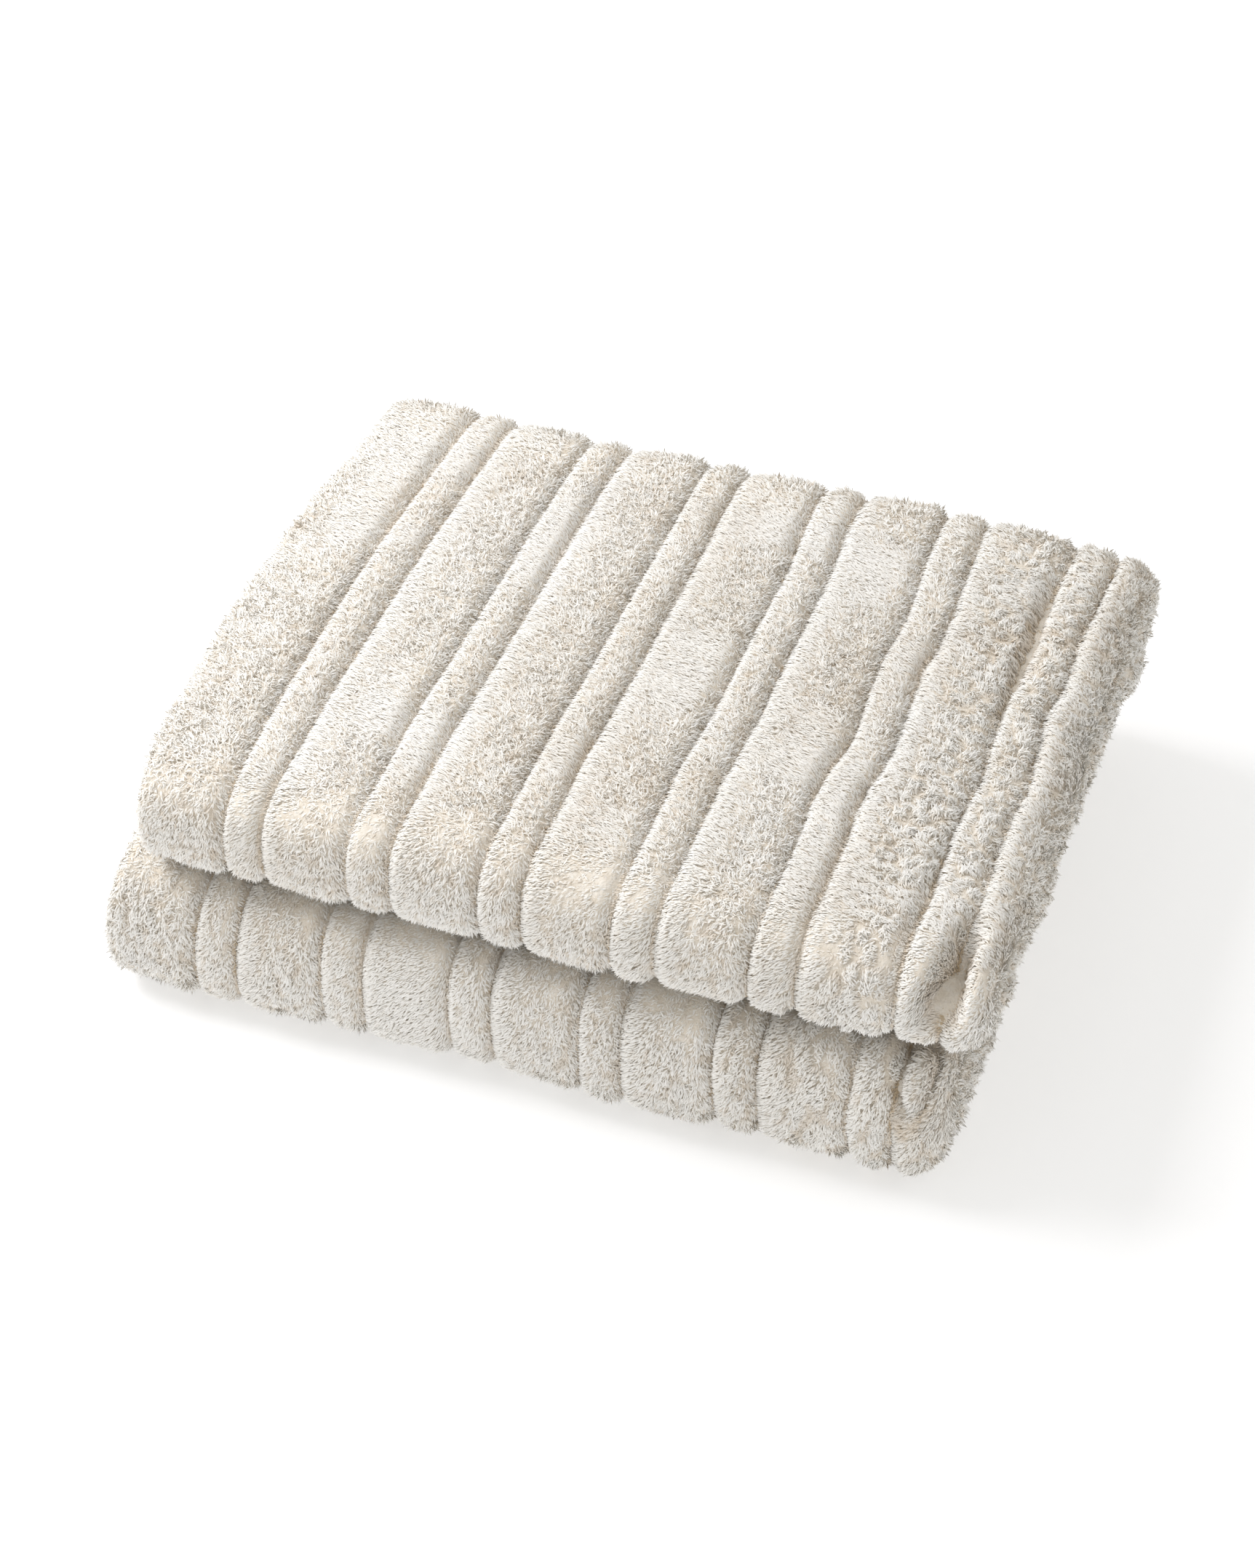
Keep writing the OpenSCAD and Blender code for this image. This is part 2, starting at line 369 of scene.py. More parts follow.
def settle(p):
    """How the soft stack sits: smooth shifts of points by a few millimetres."""
    x, y, z = p[..., 0], p[..., 1], p[..., 2]
    q = p.copy()
    high = ramp(z, 0.55 * STACK_H, 0.95 * STACK_H)
    front = ramp(-y, 55, 140)
    # the top face falls away towards its right edge and a little to its left one
    q[..., 2] -= RIGHT_DROP * high * ramp(x, 120, 200)
    q[..., 2] -= LEFT_DROP * high * ramp(-x, 150, 200)
    # slow hollows over the top
    q[..., 2] += SLOW_HOLLOWS * high * soft_noise(x + 900, y + 700, 95, 5)
    # the lower front fold stands taller than the upper one, and more so to the right
    taller = FRONT_RISE + MORE_RIGHT * ramp(x, 40, 190)
    q[..., 2] += taller * front * np.interp(z, [0, STACK_H / 2, STACK_H], [0, 1, 0])
    # the folds bulge unevenly at the front and back
    uneven = BULGE * soft_noise(x + 500, z * 1.5 + 100, 60, 7)
    q[..., 1] += uneven * ramp(np.abs(y), 100, 150)
    # the left side bellies out and is tucked in at the front
    left = ramp(-x, 90, 190) * ramp(z, 30, 75)
    q[..., 0] -= left * (LEFT_BELLY * hump(y, 10, 80) - LEFT_TUCK * ramp(-y, 95, 160))
    # the right side bellies out towards the back and is lumpy all along
    q[..., 0] += RIGHT_BELLY * ramp(x, 120, 190) * ramp(y, 70, 150) * hump(z, 62, 34)
    q[..., 0] += RIGHT_LUMPS * ramp(x, 140, 185) * soft_noise(y + 300, z + 200, 23, 8)
    # one narrow rib is pushed aside near its middle
    q[..., 0] += PUSHED_ASIDE * high * hump(x, 98, 26) * hump(y, -22, 18)
    return q


# ---------------------------------------------------------------- cloth
def place_on(part, x, t, s, a=None, ribbed=0.0):
    """Points of a part of the sheet, before it settles: at x across the strip, t
    through it and s along it. Where a, the place across the ribs, is given, they
    have the grooves of the ribbed face. The hollows press the whole section flat."""
    foot, way, base = PATHS[part]
    middle = foot + base[:, None] * way

    def at(values):
        return np.interp(s, RUN[part], values)

    x, t, s = np.broadcast_arrays(x, t, s)
    y0, z0, wy, wz, b = (at(k) for k in (foot[:, 0], foot[:, 1], way[:, 0], way[:, 1], base))
    left = at(left_edge(part, middle))
    y, z = y0 + (b + t) * wy, z0 + (b + t) * wz
    pressed = pocket(part, x, y, z)
    if a is not None:
        _, _, crown = rib_at(rib_place(a, START[part] + s))
        deep = GROOVE * (1 - crown) + OPEN_GROOVE * parted(a, y, z)
        deep = ribbed * deep * (1 - pressed)
        # a groove goes towards the strip's middle: down on the flat, inwards round the fold
        round_it = np.clip(x - RIGHT_C, 0, None)
        reach = np.hypot(round_it, t)
        scale = np.where(reach > 1, 1 - deep / np.maximum(reach, 1), 1)
        x, t = np.minimum(x, RIGHT_C) + round_it * scale, t * scale
    t = -FACE + (t + FACE) * (1 - pressed)
    return np.stack([left + x, y0 + (b + t) * wy, z0 + (b + t) * wz], -1)


def sheet_grid(part):
    """The strip's surface for a part, as a grid (rows, section points, 3)."""
    x, t = SECTION[None, :, 0], SECTION[None, :, 1]
    s = RUN[part][:, None]
    return settle(place_on(part, x, t, s, ACROSS[None, :], RIBBED[None, :]))


def grid_normals(p):
    """Unit normals of a grid of points whose rows are closed loops."""
    du = np.roll(p, -1, 1) - np.roll(p, 1, 1)
    return unit(np.cross(du, np.gradient(p, axis=0)))


def mesh_object(name, verts, corners, sizes):
    """A smooth mesh from arrays: vertices in millimetres, the corners of all faces in
    a row and the number of corners of each face."""
    mesh = bpy.data.meshes.new(name)
    starts = np.concatenate([[0], np.cumsum(sizes)[:-1]])
    mesh.vertices.add(len(verts))
    mesh.vertices.foreach_set("co", (verts * MM).astype(np.float32).ravel())
    mesh.loops.add(len(corners))
    mesh.loops.foreach_set("vertex_index", corners.astype(np.int32))
    mesh.polygons.add(len(sizes))
    mesh.polygons.foreach_set("loop_start", starts.astype(np.int32))
    mesh.polygons.foreach_set("use_smooth", np.full(len(sizes), True))
    mesh.update(calc_edges=True)
    mesh.validate()
    ob = bpy.data.objects.new(name, mesh)
    bpy.context.scene.collection.objects.link(ob)
    return ob


def loop_faces(rows, cols, first=0):
    """Corners and sizes of the faces of a closed band of rows of looped points, its
    two ends closed with one face each."""
    i = first + np.arange(rows * cols).reshape(rows, cols)
    a, b = i[:-1], i[1:]
    quads = np.stack([a, np.roll(a, -1, 1), np.roll(b, -1, 1), b], -1).reshape(-1, 4)
    corners = np.concatenate([quads.ravel(), i[0][::-1], i[-1]])
    return corners, np.concatenate([np.full(len(quads), 4), [cols, cols]])


def bands_object(name, bands):
    """One object from several closed bands, each a grid (rows, loop points, 3)."""
    corners, sizes, first = [], [], 0
    for p in bands:
        c, s = loop_faces(p.shape[0], p.shape[1], first)
        corners.append(c)
        sizes.append(s)
        first += p.shape[0] * p.shape[1]
    verts = np.concatenate([p.reshape(-1, 3) for p in bands])
    return mesh_object(name, verts, np.concatenate(corners), np.concatenate(sizes))


def cloth_piece(part):
    """The cloth of one part, with fine lumps where the pile's root mass shows."""
    p = sheet_grid(part)
    a, v = np.broadcast_arrays(ACROSS[None, :], START[part] + RUN[part][:, None])
    lumps = 0.3 * soft_noise(a + 50, v, 5.0, 11) + 0.2 * soft_noise(a + 80, v, 2.6, 12) - 0.4
    p = p + grid_normals(p) * (lumps * PILE_ON[None, :])[..., None]
    return bands_object("cloth_" + part, [p])


def bead_swell(along, across, seed):
    """How a hem's bead swells and thins along its way."""
    return 0.94 + 0.10 * soft_noise(along, across, 11, seed)


def hem_bands(part):
    """The two rolled side hems of a part: flattened beads that close the lower plies
    at the strip's left edge."""
    long = RUN[part][-1]
    s = np.arange(0, long + 0.1, long / round(long / HEM_STEP))[:, None]
    g = np.linspace(0, 2 * np.pi, HEM_RING)[None, :-1]
    bands = []
    for level in HEM_LEVELS:
        swell = bead_swell(START[part] + s + 90 * level, 0 * s + 7, 31)
        x = HEM_INSET + HEM_DEEP * swell * np.cos(g)
        t = level + HEM_HIGH * swell * np.sin(g)
        bands.append(settle(place_on(part, x, t, s)))
    return bands


def stitch_piece(name, part):
    """Stitches along the outside of both hems: each a short sunk thread."""
    g = np.linspace(0, 2 * np.pi, 7)[None, :-1]
    k = np.linspace(-1, 1, 7)[:, None]
    r = THREAD_R * np.sqrt(np.maximum(0.06, 1 - k**2))
    bands = []
    for level in HEM_LEVELS:
        for middle in np.arange(8, RUN[part][-1] - 6, STITCH):
            x = HEM_INSET - HEM_DEEP - 0.1 + 0.35 * k**2 + r * np.cos(g)
            t = level + 0.15 * k + r * np.sin(g)
            bands.append(settle(place_on(part, x, t, middle + STITCH_HALF * k)))
    return bands_object(name, bands)


def end_hem_bands(part, s):
    """The four turned hems that close the plies at an inner panel's end. The two
    panels face each other, so their rings go round in opposite ways."""
    x = np.linspace(LEFT_C + 3, RIGHT_C - 2, 90)[:, None]
    turn = 2 * np.pi if part == "lower" else -2 * np.pi
    g = np.linspace(0, turn, HEM_RING)[None, :-1]
    bands = []
    for level in (-1.5, -0.5, 0.5, 1.5):
        swell = bead_swell(x, 0 * x + 9 * level, 32)
        p = place_on(part, x + 0 * g, level * PLY + HEM_HIGH * swell * np.sin(g), s)
        p[..., 1] += HEM_DEEP * swell * np.cos(g)
        bands.append(settle(p))
    return bands


def label_piece():
    """A blank woven label, held at its top edge and curling a little away."""
    rows, cols = 14, 11
    thick = 0.5
    y = np.linspace(label_low[1], label_high[1], rows)[:, None]
    u = np.linspace(0, 1, cols)[None, :]
    top = label_high[2] - 1
    drop = (top - label_low[2]) * u
    out = 1.6 * u**2 + 1.2 * u * hump(y, label_low[1] + 4, 9) + 0 * y
    x = label_low[0] - 0.6 - out
    front = np.stack([x, y + 0 * u, top - drop + 0 * y], -1)
    loop = np.concatenate([front[:, ::-1], front + np.array([thick, 0, 0])], axis=1)
    return bands_object("care_label_cloth", [settle(loop)])


# ---------------------------------------------------------------- pile
FOOT = 0.3  # how deep a tuft's foot stands in the cloth
STEM, POINT = 0.45, 0.6  # shares of its length: up to its widest place, and over
OFF_FLOOR = 0.3  # no tuft goes lower than this over the floor
FINE_LOCK, COARSE_LOCK = 3.4, 5.6  # cell sizes of the locks
LEAST_LENGTH = 1.2


def runs_of(flags):
    """Starts and ends of the runs of true values in a row of flags."""
    k = np.flatnonzero(np.diff(np.concatenate([[0], flags.astype(int), [0]])))
    return list(zip(k[::2], k[1::2]))


def scatter(p, n, fields, density, rng):
    """Random places on a grid of quads, about density to a square millimetre.
    Returns positions, normals, the direction across the ribs and the fields, all
    read between the corners."""
    a, b = p[:-1, :-1], p[:-1, 1:]
    c, d = p[1:, 1:], p[1:, :-1]
    area = 0.5 * np.linalg.norm(np.cross(c - a, d - b), axis=-1)
    count = np.floor(area * density + rng.random(area.shape)).astype(int).ravel()
    cell = np.repeat(np.arange(count.size), count)
    r, k = np.divmod(cell, area.shape[1])
    u, v = rng.random(len(cell))[:, None], rng.random(len(cell))[:, None]

    def read(g):
        g = g if g.ndim == 3 else g[..., None]
        low = g[r, k] * (1 - u) + g[r, k + 1] * u
        high = g[r + 1, k] * (1 - u) + g[r + 1, k + 1] * u
        return low * (1 - v) + high * v

    return read(p), unit(read(n)), unit(p[r, k + 1] - p[r, k]), [read(f)[:, 0] for f in fields]


def lock_of(a, v, size, seed):
    """The lock that each place belongs to: the nearest of the jittered points of a
    square lattice. Returns the offset to its middle and its random number."""
    table = np.random.default_rng(seed).random((3, LOCK_CELLS, LOCK_CELLS))
    i, j = np.floor(a / size).astype(int), np.floor(v / size).astype(int)
    best = np.full(len(a), 1e9)
    off_a, off_v, own = np.zeros(len(a)), np.zeros(len(a)), np.zeros(len(a))
    for di in (-1, 0, 1):
        for dj in (-1, 0, 1):
            ii, jj = (i + di) % LOCK_CELLS, (j + dj) % LOCK_CELLS
            ca = (i + di + table[0, ii, jj]) * size - a
            cv = (j + dj + table[1, ii, jj]) * size - v
            near = ca * ca + cv * cv
            nearer = near < best
            best = np.where(nearer, near, best)
            off_a = np.where(nearer, ca, off_a)
            off_v = np.where(nearer, cv, off_v)
            own = np.where(nearer, table[2, ii, jj], own)
    return off_a, off_v, own


def tuft_mesh(name, root, out, way, tip, face, width, length, tone_and_painted_shade, bends):
    """Tufts of pile: each is a narrow ribbon from under the cloth, up towards way and
    then over to a point towards tip, turned outwards. It is shaded as the pile's
    surface is, whose normal there is face. A piece that bends keeps those normals
    relative to its own faces, so that they turn with them."""
    count = len(root)
    rng = np.random.default_rng(77)
    side = unit(np.cross(way, out + 0.12 * rng.normal(size=(count, 3))))
    half = side * width[:, None]
    foot = root - out * FOOT
    stem = root + way * (STEM * length)[:, None]
    point = stem + tip * (POINT * length)[:, None]
    verts = np.stack([foot, stem + half, stem - half, point], 1).reshape(-1, 3)
    verts[:, 2] = np.maximum(verts[:, 2], OFF_FLOOR)
    corners = (np.arange(count)[:, None] * 4 + np.array([0, 1, 2, 2, 1, 3])).ravel()
    ob = mesh_object(name, verts, corners, np.full(2 * count, 3))
    # the shading turns a little to each side of the ribbon, as if it were round
    round_off = 0.25 * side
    own = unit(np.cross(side, way)) + unit(np.cross(side, tip))
    shading = np.stack([face, face + round_off, face - round_off, face], 1)
    shading = unit(shading + OWN_SHADE * own[:, None]).astype(np.float32).reshape(-1, 3)
    if bends:
        ob.data.normals_split_custom_set_from_vertices(shading.tolist())
    else:
        normals = ob.data.attributes.new("custom_normal", "FLOAT_VECTOR", "POINT")
        normals.data.foreach_set("vector", shading.ravel())
    # the map holds each tuft's tone, with its painted shade, across and its height up, which its
    # colour reads
    height = np.tile([0.02, 0.5, 0.5, 0.98], (count, 1))
    swing = np.tile([0.0, 0.01, -0.01, 0.0], (count, 1))
    u = 0.03 + 0.94 * np.clip(tone_and_painted_shade, 0, 1)[:, None] + swing
    uv = np.stack([u, height], -1).reshape(-1, 2)[corners]
    layer = ob.data.uv_layers.new(name="OFBake")
    layer.data.foreach_set("uv", uv.astype(np.float32).ravel())
    return ob


def hem_pile(name, part, bands, density, seed):
    """Short pile all round the beads of a hem."""
    rng = np.random.default_rng(seed)
    found = []
    for band in bands:
        p = np.concatenate([band, band[:, :1]], 1)
        n = grid_normals(band)
        n = np.concatenate([n, n[:, :1]], 1)
        found.append(scatter(p, n, (), density, rng))
    root, normal, round_it = (np.concatenate([f[k] for f in found]) for k in range(3))
    count = len(root)
    lean = 0.5 * unit(rng.normal(size=(count, 3))) + rng.uniform(-0.5, 0.5, (count, 1)) * round_it
    way, tip = unit(normal + 0.9 * lean), unit(0.3 * normal + lean)
    width = 0.32 + 0.2 * rng.random(count)
    length = np.maximum(2.3 + 0.4 * rng.normal(size=count), LEAST_LENGTH)
    tone_and_painted_shade = 0.55 + 0.25 * rng.random(count)
    bends = part.startswith("back")
    return tuft_mesh(name, root, normal, way, tip, normal, width, length, tone_and_painted_shade, bends)


def pile_thickness(density, inside):
    """How thick the pile stands at each point of the section, in tufts to a square
    millimetre: density is that on the flat and that on the side folds. The hidden
    plies have little."""
    x = SECTION[:, 0]
    at_side = np.maximum(ramp(x, RIGHT_C - 22, RIGHT_C - 8), 1 - ramp(x, 14, 26))
    hidden = min(density[0], 0.25)
    flat = np.where((RIBBED > 0) | inside, density[0], hidden)
    return flat + (density[1] - flat) * at_side


def pile_roots(part, rows, density, rng):
    """Random roots on the piled stretches of a part, between two rows of its path.
    Returns them with their normals, the directions across the ribs, and for each its
    places across and along the ribs, whether it is on the ribbed face, how thick the
    pile stands there, and its place across the strip."""
    p = sheet_grid(part)
    n = grid_normals(p)
    a, v, ribbed = np.broadcast_arrays(
        ACROSS[None, :], START[part] + RUN[part][:, None], RIBBED[None, :]
    )
    # the back fold's inside shows when the stack is open, so it has pile all over
    inside = part.startswith("back") & (SECTION[:, 1] < 1 - FACE)
    thick = pile_thickness(density, inside)[None, :] + 0 * a
    x = SECTION[:, 0]
    found = []
    for k0, k1 in runs_of((PILE_ON > 0) | inside):
        cut = (slice(rows[0], rows[1] + 1), slice(k0, k1))
        here = (a[cut], v[cut], ribbed[cut], thick[cut], x[k0:k1] + 0 * a[cut])
        found.append(scatter(p[cut], n[cut], here, thick[cut][:-1, :-1], rng))
    vectors = [np.concatenate([f[k] for f in found]) for k in range(3)]
    fields = [np.concatenate([f[3][k] for f in found]) for k in range(5)]
    return *vectors, *fields


def locks(a, v, curly):
    """Fine locks where the pile is smooth and coarse ones where it is curly: for each
    tuft the offset to its lock's middle, the lock's random number and its size."""
    near_a, near_v, near = lock_of(a, v, FINE_LOCK, 40)
    wide_a, wide_v, far = lock_of(a, v, COARSE_LOCK, 41)
    pick = curly > 0.5
    off_a, off_v = np.where(pick, wide_a, near_a), np.where(pick, wide_v, near_v)
    return off_a, off_v, np.where(pick, far, near), np.where(pick, COARSE_LOCK, FINE_LOCK)


def pile_piece(name, part, rows, density, seed):
    """Pile on a stretch of a part, between two rows of its path. It lies combed over
    the grooves on the left of each rib and draws together into small curls to the
    right; on the right of the stack the curls are coarser."""
    rng = np.random.default_rng(seed)
    root, normal, across, a, v, ribbed, thick, strip_x = pile_roots(part, rows, density, rng)
    count = len(root)
    along = np.cross(normal, across)
    x, y, z = root.T
    f, rib_width, _ = rib_at(rib_place(a, v))
    f = np.where(ribbed > 0.5, f, 0.5)
    gap = np.minimum(f, 1 - f) * rib_width  # distance to the nearest groove
    hollow = np.where(ribbed > 0.5, pocket(part, strip_x, y, z), 0)
    open_groove = parted(a, y, z)

    # how combed or loose and how curly it is, and the locks it draws together into
    combed = 1 - ramp(f * rib_width, 3, 0.45 * rib_width)
    patches = 0.5 + 0.5 * soft_noise(a + 60, v + 20, 30, 20)
    combed = np.maximum(combed, 0.75 * ramp(patches, 0.5, 0.9)) * (1 - 0.35 * ramp(x, 90, 170))
    loose = 1 - combed
    curly = np.clip(ramp(x, 70, 160) + 0.45 * soft_noise(a, v, 60, 21), 0, 1)
    off_a, off_v, own, size = locks(a, v, curly)
    spread = np.clip(np.hypot(off_a, off_v) / (0.62 * size), 0, 1.2)

    # the roots rise into domes, one to a lock, and slower swells
    dome = loose * (0.5 + 0.5 * curly) * size * 0.28 * (0.6 - spread**2)
    swell = 0.9 * soft_noise(a + 11, v + 5, 13, 23) + 0.5 * soft_noise(a + 3, v + 9, 6, 24) * loose
    lift = dome + swell * ramp(gap, 0, 7) + rng.uniform(-0.3, 0.6, count)
    root = root + normal * np.where(lift < 0.2, 0.2 + 0.3 * (lift - 0.2), lift)[:, None]
    side = -across  # a runs against the section's order on the ribbed face
    outward = -(off_a[:, None] * side + off_v[:, None] * along) / size[:, None]
    face = unit(normal + (0.4 * loose)[:, None] * outward)

    # the lean: combed to the left, loose pile towards its lock's middle, curled
    sway = rng.normal(size=(count, 3))
    swirl = 2 * np.pi * own
    curl = np.cos(swirl)[:, None] * side + np.sin(swirl)[:, None] * along
    flow = 0.5 * soft_noise(a + 40, v + 3, 24, 25)
    lean = (
        (-1.2 * combed + loose * (0.9 * (2 * f - 1) ** 3 - 0.25))[:, None] * side
        + (0.3 * flow)[:, None] * along
        + ((0.4 - 1.5 * curly) * loose)[:, None] * outward
        + (0.14 + 0.22 * loose)[:, None] * sway
        + (loose * (0.22 + 0.25 * curly))[:, None] * curl
    )
    # at the front the pile hangs; in the hollows it lies across
    hanging = ramp(-y, 120, 150) * ramp(z, 6, 30)
    lean += hanging[:, None] * np.array([0, 0, -0.8])
    cross = np.clip(open_groove * 1.6 + hollow * 1.2, 0, 1)[:, None]
    lean = lean * (1 - cross) - 1.4 * cross * side
    lean = unit(lean) * np.maximum(np.linalg.norm(lean, axis=1, keepdims=True), 1.0)
    way = unit(0.36 * normal + lean)
    tip = unit(0.02 * normal + lean)

    # shorter in the grooves, between the locks and under the stack; wider where thin
    length = 2.2 + 1.3 * ramp(gap, 0, 6) + 0.5 * (own - 0.5) * loose + 0.3 * rng.normal(size=count)
    length *= 1 - 0.12 * loose * ramp(spread, 0.6, 1) - 0.14 * curly
    length *= np.where(z < 4, 0.4, 1)
    length = np.maximum(length, LEAST_LENGTH)
    wider = np.clip(np.sqrt(DENSE / thick), 1, 2.0)
    width = (0.22 + 0.2 * rng.random(count) ** 2 + 0.06 * curly) * wider

    # the tone: patch, own and the random part are the pile's own tone, which differs at random;
    # the rest is painted shade, darker in the grooves, between the locks and in the hollows, where
    # shade falls
    patch = soft_noise(a + 30, v, 38, 22)
    tone_and_painted_shade = 0.66 + 0.10 * patch + 0.10 * (own - 0.5) * loose + 0.14 * (rng.random(count) - 0.5)
    # painted shade in the grooves and in the crevices between the locks
    tone_and_painted_shade -= 0.42 * hump(gap, 0, 1.4) + 0.30 * loose * ramp(spread, 0.72, 1.05)
    # painted shade in the open groove and in the front folds' hollow and ring
    tone_and_painted_shade -= 0.32 * np.clip(open_groove, 0, 1) + (0.62 if part == "upper" else 1.3) * hollow
    bends = part.startswith("back")
    return tuft_mesh(name, root, normal, way, tip, face, width, length, tone_and_painted_shade, bends)


# ---------------------------------------------------------------- materials
def srgb(code):
    """An sRGB hex colour as linear RGBA."""
    c = np.array([int(code[k : k + 2], 16) for k in (1, 3, 5)]) / 255
    low, high = c / 12.92, ((c + 0.055) / 1.055) ** 2.4
    return (*np.where(c <= 0.04045, low, high), 1.0)


def add_node(tree, kind, settings=(), **links):
    """A shader node of that kind with its settings. Links name an input, with spaces
    as underscores, or give its number after an underscore; their values are the
    input's own value or the output that feeds it."""
    node = tree.nodes.new(kind)
    for key, value in dict(settings).items():
        setattr(node, key, value)
    for key, value in links.items():
        socket = node.inputs[int(key[1:]) if key[0] == "_" else key.replace("_", " ")]
        if isinstance(value, bpy.types.NodeSocket):
            tree.links.new(value, socket)
        else:
            socket.default_value = value
    return node


def ramp_node(tree, fac, stops):
    """A colour ramp with the given (place, hex colour) stops."""
    node = add_node(tree, "ShaderNodeValToRGB", _0=fac)
    marks = node.color_ramp.elements
    while len(marks) < len(stops):
        marks.new(0.5)
    for mark, (place, code) in zip(marks, stops):
        mark.position = place
        mark.color = srgb(code)
    return node


def new_material(name):
    """A named material with an empty tree and its output."""
    mat = bpy.data.materials.new(name)
    mat.use_nodes = True
    mat.node_tree.nodes.clear()
    return mat, mat.node_tree, mat.node_tree.nodes.new("ShaderNodeOutputMaterial")


def plush_pile():
    """Polyester plush pile, brushed up: matt, with soft light on the tips, which are
    paler than the roots. Its colour reads each tuft's tone and height; the tone's low, tan end is
    painted shade in the grooves, between the locks and in the hollows."""
    mat, tree, out = new_material("plush_pile_ivory")
    uv = add_node(tree, "ShaderNodeUVMap", {"uv_map": "OFBake"})
    xy = add_node(tree, "ShaderNodeSeparateXYZ", _0=uv.outputs[0])
    up = [(0.0, "#ECE4D8"), (0.3, "#F6F3ED"), (0.6, "#FAF9F7"), (1.0, "#FCFCFB")]
    # the tone ramp's low, tan end is painted shade for the grooves, the crevices between the locks
    # and the hollows; the rest is the tufts' own tone
    tone_and_shade_stops = [(0.0, "#C9B597"), (0.3, "#EEE6DB"), (0.6, "#FBFAF7"), (1.0, "#FFFFFF")]
    root_to_tip = ramp_node(tree, xy.outputs[1], up)
    tone_and_painted_shade = ramp_node(tree, xy.outputs[0], tone_and_shade_stops)
    colour = add_node(
        tree,
        "ShaderNodeMix",
        {"data_type": "RGBA", "blend_type": "MULTIPLY"},
        _0=1.0,
        _6=root_to_tip.outputs[0],
        _7=tone_and_painted_shade.outputs[0],
    )
    skin = add_node(tree, "ShaderNodeBsdfPrincipled", Base_Color=colour.outputs[2], Roughness=0.85)
    skin.inputs["Specular IOR Level"].default_value = 0.15
    skin.inputs["Sheen Weight"].default_value = 0.3
    skin.inputs["Sheen Roughness"].default_value = 0.45
    skin.inputs["Sheen Tint"].default_value = srgb("#FFFAF2")
    tree.links.new(skin.outputs[0], out.inputs[0])
    return mat


def woven(name, stops, size, grain, depth, roughness, sheen):
    """Cloth with a mottled colour at the given size, in millimetres, and a fine
    raised grain."""
    mat, tree, out = new_material(name)
    where = add_node(tree, "ShaderNodeTexCoord").outputs["Object"]
    mottle = add_node(tree, "ShaderNodeTexNoise", Vector=where, Scale=1000 / size, Detail=4.0)
    colour = ramp_node(tree, mottle.outputs[0], stops)
    loops = add_node(tree, "ShaderNodeTexNoise", Vector=where, Scale=1000 / grain, Detail=2.0)
    bump = add_node(tree, "ShaderNodeBump", Strength=0.6, Distance=depth, Height=loops.outputs[0])
    skin = add_node(
        tree,
        "ShaderNodeBsdfPrincipled",
        Base_Color=colour.outputs[0],
        Roughness=roughness,
        Normal=bump.outputs[0],
    )
    skin.inputs["Specular IOR Level"].default_value = 0.15
    skin.inputs["Sheen Weight"].default_value = sheen
    tree.links.new(skin.outputs[0], out.inputs[0])
    return mat


def plain_matt(name, code, glow):
    """A plain matt surface for the floor, which glows as well."""
    mat, tree, out = new_material(name)
    skin = add_node(tree, "ShaderNodeBsdfPrincipled", Base_Color=srgb(code), Roughness=0.9)
    skin.inputs["Emission Color"].default_value = srgb(code)
    skin.inputs["Emission Strength"].default_value = glow
    tree.links.new(skin.outputs[0], out.inputs[0])
    return mat


PILE_MAT = plush_pile()
# knitted ground of the plush with the roots of its pile: warm beige, mottled
GROUND_MAT = woven(
    "plush_ground_beige",
    [(0.25, "#DDD2C1"), (0.55, "#E8E0D3"), (0.8, "#F1ECE4")],
    3.8, 1.1, 0.0008, 0.95, 0.2,
)
# the same plush sheared short and turned over as a hem
HEM_MAT = woven(
    "sheared_plush_hem",
    [(0.3, "#E2D8C9"), (0.55, "#EDE6DB"), (0.8, "#F5F1EA")],
    3.0, 0.8, 0.0006, 0.9, 0.3,
)
# spun polyester sewing thread
THREAD_MAT = woven(
    "spun_thread_ivory",
    [(0.3, "#D9C9B0"), (0.6, "#E8DCC9"), (0.8, "#EFE6D8")],
    2.0, 0.35, 0.0002, 0.6, 0.1,
)
# blank woven satin
LABEL_MAT = woven(
    "woven_satin_white",
    [(0.3, "#E4E1DA"), (0.6, "#ECEAE5"), (0.8, "#F2F0EC")],
    6.0, 0.25, 0.0001, 0.38, 0.2,
)


def finish_piece(ob, mat):
    """Gives a piece its material and the slot it takes its finish from."""
    ob.data.materials.append(mat)
    return ob


# ---------------------------------------------------------------- bodies
SLANT = 0.5**0.5
SEAM_CLEAR = 8  # how far before the seam the far end of the back bend's diagonal stops
FIRST = (LAYER - JOIN) * SLANT  # where it begins and ends along a back bend's diagonal
FULL = (BEND - HALF + seam_z) * SLANT - SEAM_CLEAR


def hold(ob, part):
    """Ties a piece of the lower or upper part of the sheet to its half's body. The
    pieces of the back have their place baked into their mesh and are tied to no body;
    the two ends of the back bend's diagonal are worked out but not used."""
    near, far = ((0, (BACK + d * SLANT) * MM, d * SLANT * MM) for d in (FIRST, FULL))
    if part == "lower":
        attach(ob, "lower_half")
    elif part == "upper":
        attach(ob, "upper_half")
    elif part == "back_lower":
        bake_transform(ob)
    else:
        top = STACK_H * MM
        near, far = ((0, p[1], top - p[2]) for p in (near, far))
        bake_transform(ob)


# ---------------------------------------------------------------- camera and light
def aim(ob, target):
    """Turns an object's -Z towards a point."""
    way = Vector(target) - ob.location
    ob.rotation_euler = way.to_track_quat("-Z", "Y").to_euler()


